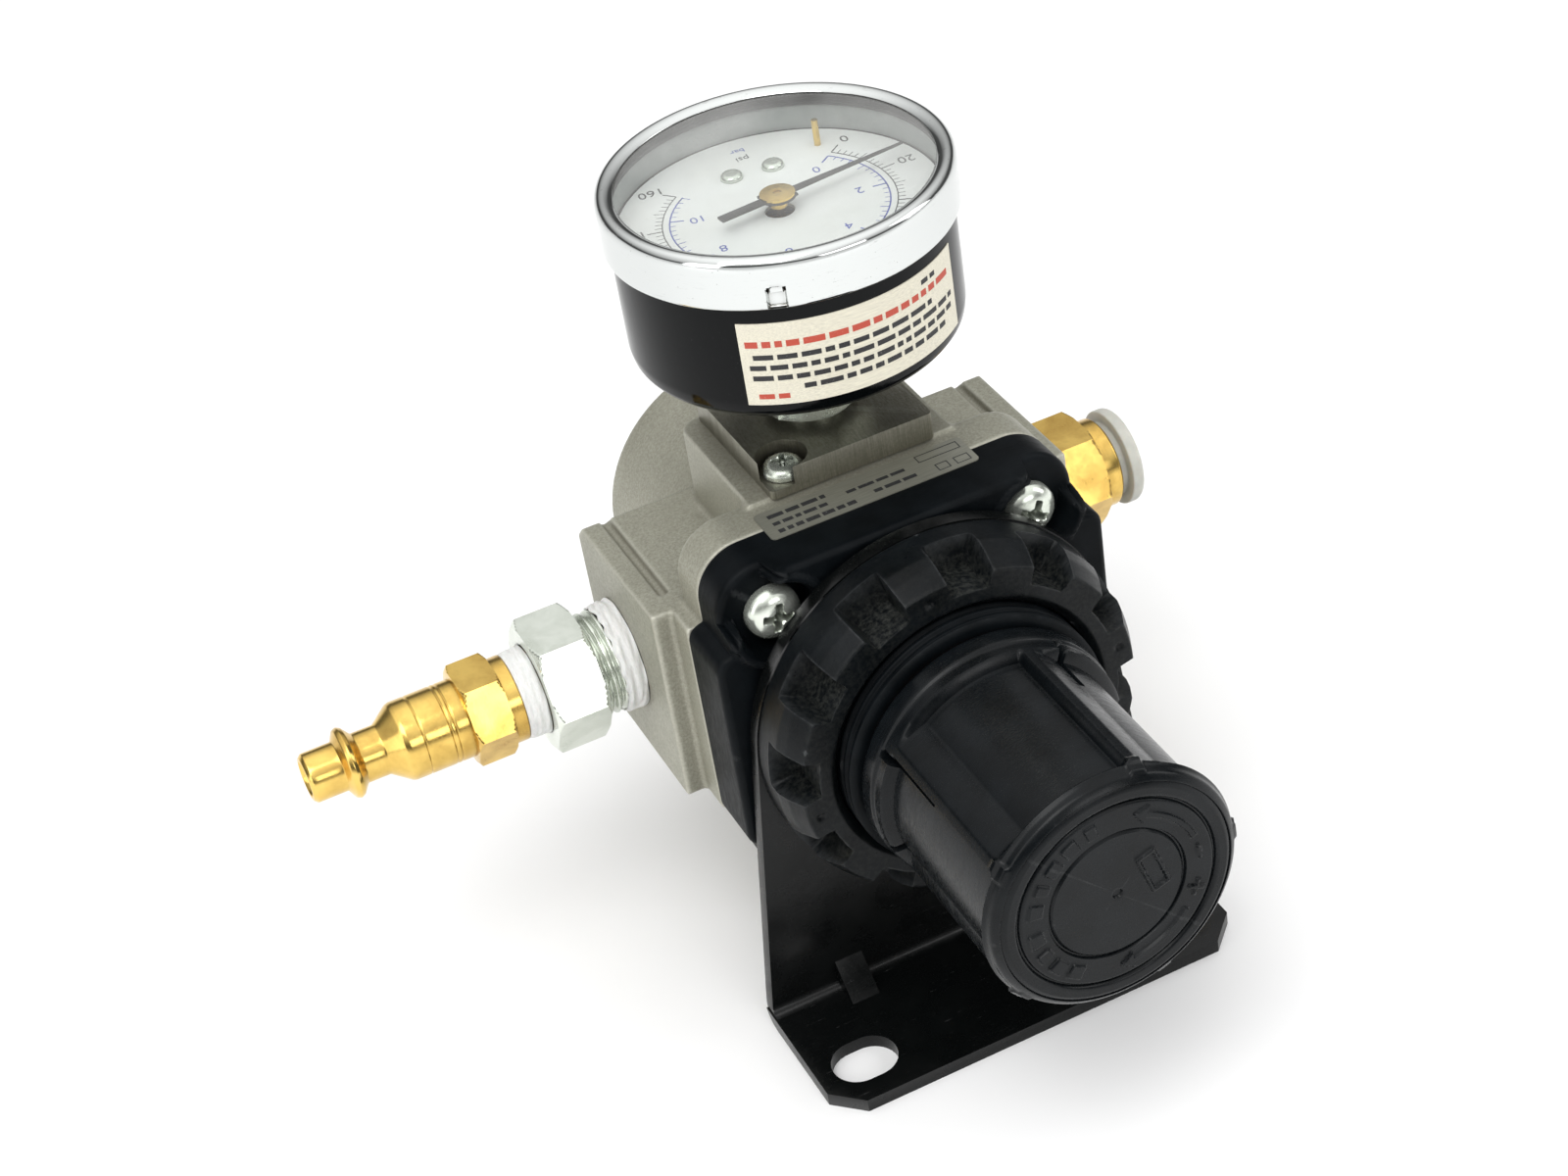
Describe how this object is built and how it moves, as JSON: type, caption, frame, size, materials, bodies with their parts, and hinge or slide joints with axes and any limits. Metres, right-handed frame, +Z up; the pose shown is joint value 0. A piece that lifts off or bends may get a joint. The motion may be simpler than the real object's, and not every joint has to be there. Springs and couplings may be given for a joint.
{
  "type": "air pressure regulator",
  "caption": "Panel-mount air pressure regulator with adjusting knob, round gauge, L bracket, quick-connect plug inlet and push-in tube outlet.",
  "frame": {"origin": "centre of the bracket's two slots, on the underside of its foot", "axes": "+X from inlet to outlet, +Y from the knob to the rear, +Z up along the gauge's axis"},
  "size_m": [0.1413, 0.1242, 0.1246],
  "materials": {
    "black_painted_steel": "semi-gloss",
    "black_nylon": "satin",
    "cast_aluminium": "fine cast, metallic paint",
    "machined_aluminium": "satin",
    "zinc_plated_steel": "satin",
    "brass": "machined",
    "ptfe_tape": "matte",
    "grey_plastic": "satin",
    "black_rubber": "matte",
    "spring_steel": "drawn",
    "orange_plastic": "satin",
    "chrome": "polished",
    "gloss_black_steel": "gloss",
    "clear_window": "clear",
    "white_dial": "matte",
    "pointer_black": "matte",
    "paper_label": "satin",
    "silver_label": "satin"
  },
  "bodies": {
    "root": {"adjusting_spring": "spring_steel", "body": "cast_aluminium", "bonnet": "black_nylon", "bonnet_screws": "zinc_plated_steel", "bracket": "black_painted_steel", "diaphragm": "black_rubber", "gauge_bezel": "chrome", "gauge_bourdon_tube": "brass", "gauge_case": "gloss_black_steel", "gauge_dial": "white_dial", "gauge_dial_posts": "brass", "gauge_dial_screws": "zinc_plated_steel", "gauge_hairspring": "brass", "gauge_label": "paper_label", "gauge_movement_frame": "brass", "gauge_plate": "machined_aluminium", "gauge_plate_o_ring": "black_rubber", "gauge_plate_screws": "zinc_plated_steel", "gauge_socket": "zinc_plated_steel", "gauge_stop_pin": "brass", "gauge_window": "clear_window", "gauge_window_gasket": "black_rubber", "inlet_bushing": "zinc_plated_steel", "inlet_thread_tape": "ptfe_tape", "lock_band": "orange_plastic", "nameplate": "silver_label", "outlet_collet": "spring_steel", "outlet_fitting_body": "brass", "outlet_guide_ring": "brass", "outlet_tube_seal": "black_rubber", "plug_thread_tape": "ptfe_tape", "quick_connect_plug": "brass", "set_nut": "black_nylon", "thrust_washer": "zinc_plated_steel", "valve_guide_cap": "black_nylon", "valve_guide_o_ring": "black_rubber", "valve_spring": "spring_steel"},
    "screw": {"adjusting_screw": "zinc_plated_steel"},
    "knob": {"knob": "black_nylon"},
    "seat_nut": {"spring_seat_nut": "zinc_plated_steel"},
    "diaphragm_centre": {"diaphragm_plate": "machined_aluminium", "diaphragm_retainer": "machined_aluminium"},
    "valve": {"valve_stem": "brass", "valve_poppet": "brass", "poppet_seal": "black_rubber"},
    "pointer": {"gauge_pointer": "pointer_black", "gauge_pointer_hub": "brass", "gauge_pinion_arbor": "brass"},
    "sector": {"gauge_sector_gear": "brass"},
    "link": {"gauge_link": "brass"},
    "release_ring": {"outlet_release_ring": "grey_plastic"}
  },
  "joints": [
    {"name": "screw_turn", "type": "hinge", "parent": "root", "child": "screw", "pos_m": [0, 0.0185, 0.05], "axis": [0, 1, 0], "range_deg": [-540, 1620]},
    {"name": "knob_pull", "type": "slide", "parent": "screw", "child": "knob", "axis": [0, -1, 0], "range_m": [0, 0.004]},
    {"name": "seat_travel", "type": "slide", "parent": "root", "child": "seat_nut", "axis": [0, 1, 0], "range_m": [-0.0023, 0.0068], "deforming": ["adjusting_spring"]},
    {"name": "valve_lift", "type": "slide", "parent": "root", "child": "diaphragm_centre", "axis": [0, 1, 0], "range_m": [0, 0.0015], "stiffness_N_per_m": 800, "springref_m": -0.001, "deforming": ["diaphragm"]},
    {"name": "poppet_lift", "type": "slide", "parent": "root", "child": "valve", "axis": [0, 1, 0], "range_m": [0, 0.0015], "deforming": ["valve_spring"]},
    {"name": "pointer_turn", "type": "hinge", "parent": "root", "child": "pointer", "pos_m": [0, 0.049, 0.11], "axis": [0, 0, -1], "range_deg": [-32, 237.94], "stiffness_Nm_per_rad": 0.0005, "deforming": ["gauge_hairspring"]},
    {"name": "sector_turn", "type": "hinge", "parent": "root", "child": "sector", "pos_m": [-0.016, 0.049, 0.11], "axis": [0, 0, -1], "range_deg": [-34.59, 5.17]},
    {"name": "link_travel", "type": "slide", "parent": "root", "child": "link", "axis": [0, -1, 0], "range_m": [-0.00027, 0.00204], "deforming": ["gauge_bourdon_tube"]},
    {"name": "release_press", "type": "slide", "parent": "root", "child": "release_ring", "axis": [-1, 0, 0], "range_m": [0, 0.0012], "stiffness_N_per_m": 300, "springref_m": -0.0005}
  ],
  "couplings": [
    {"joint": "seat_travel", "follows": "screw_turn", "m_per_rad": 0.00023873},
    {"joint": "poppet_lift", "follows": "valve_lift", "ratio": 1},
    {"joint": "pointer_turn", "follows": "link_travel", "rad_per_m": 2038.7},
    {"joint": "sector_turn", "follows": "link_travel", "rad_per_m": -291.25}
  ]
}
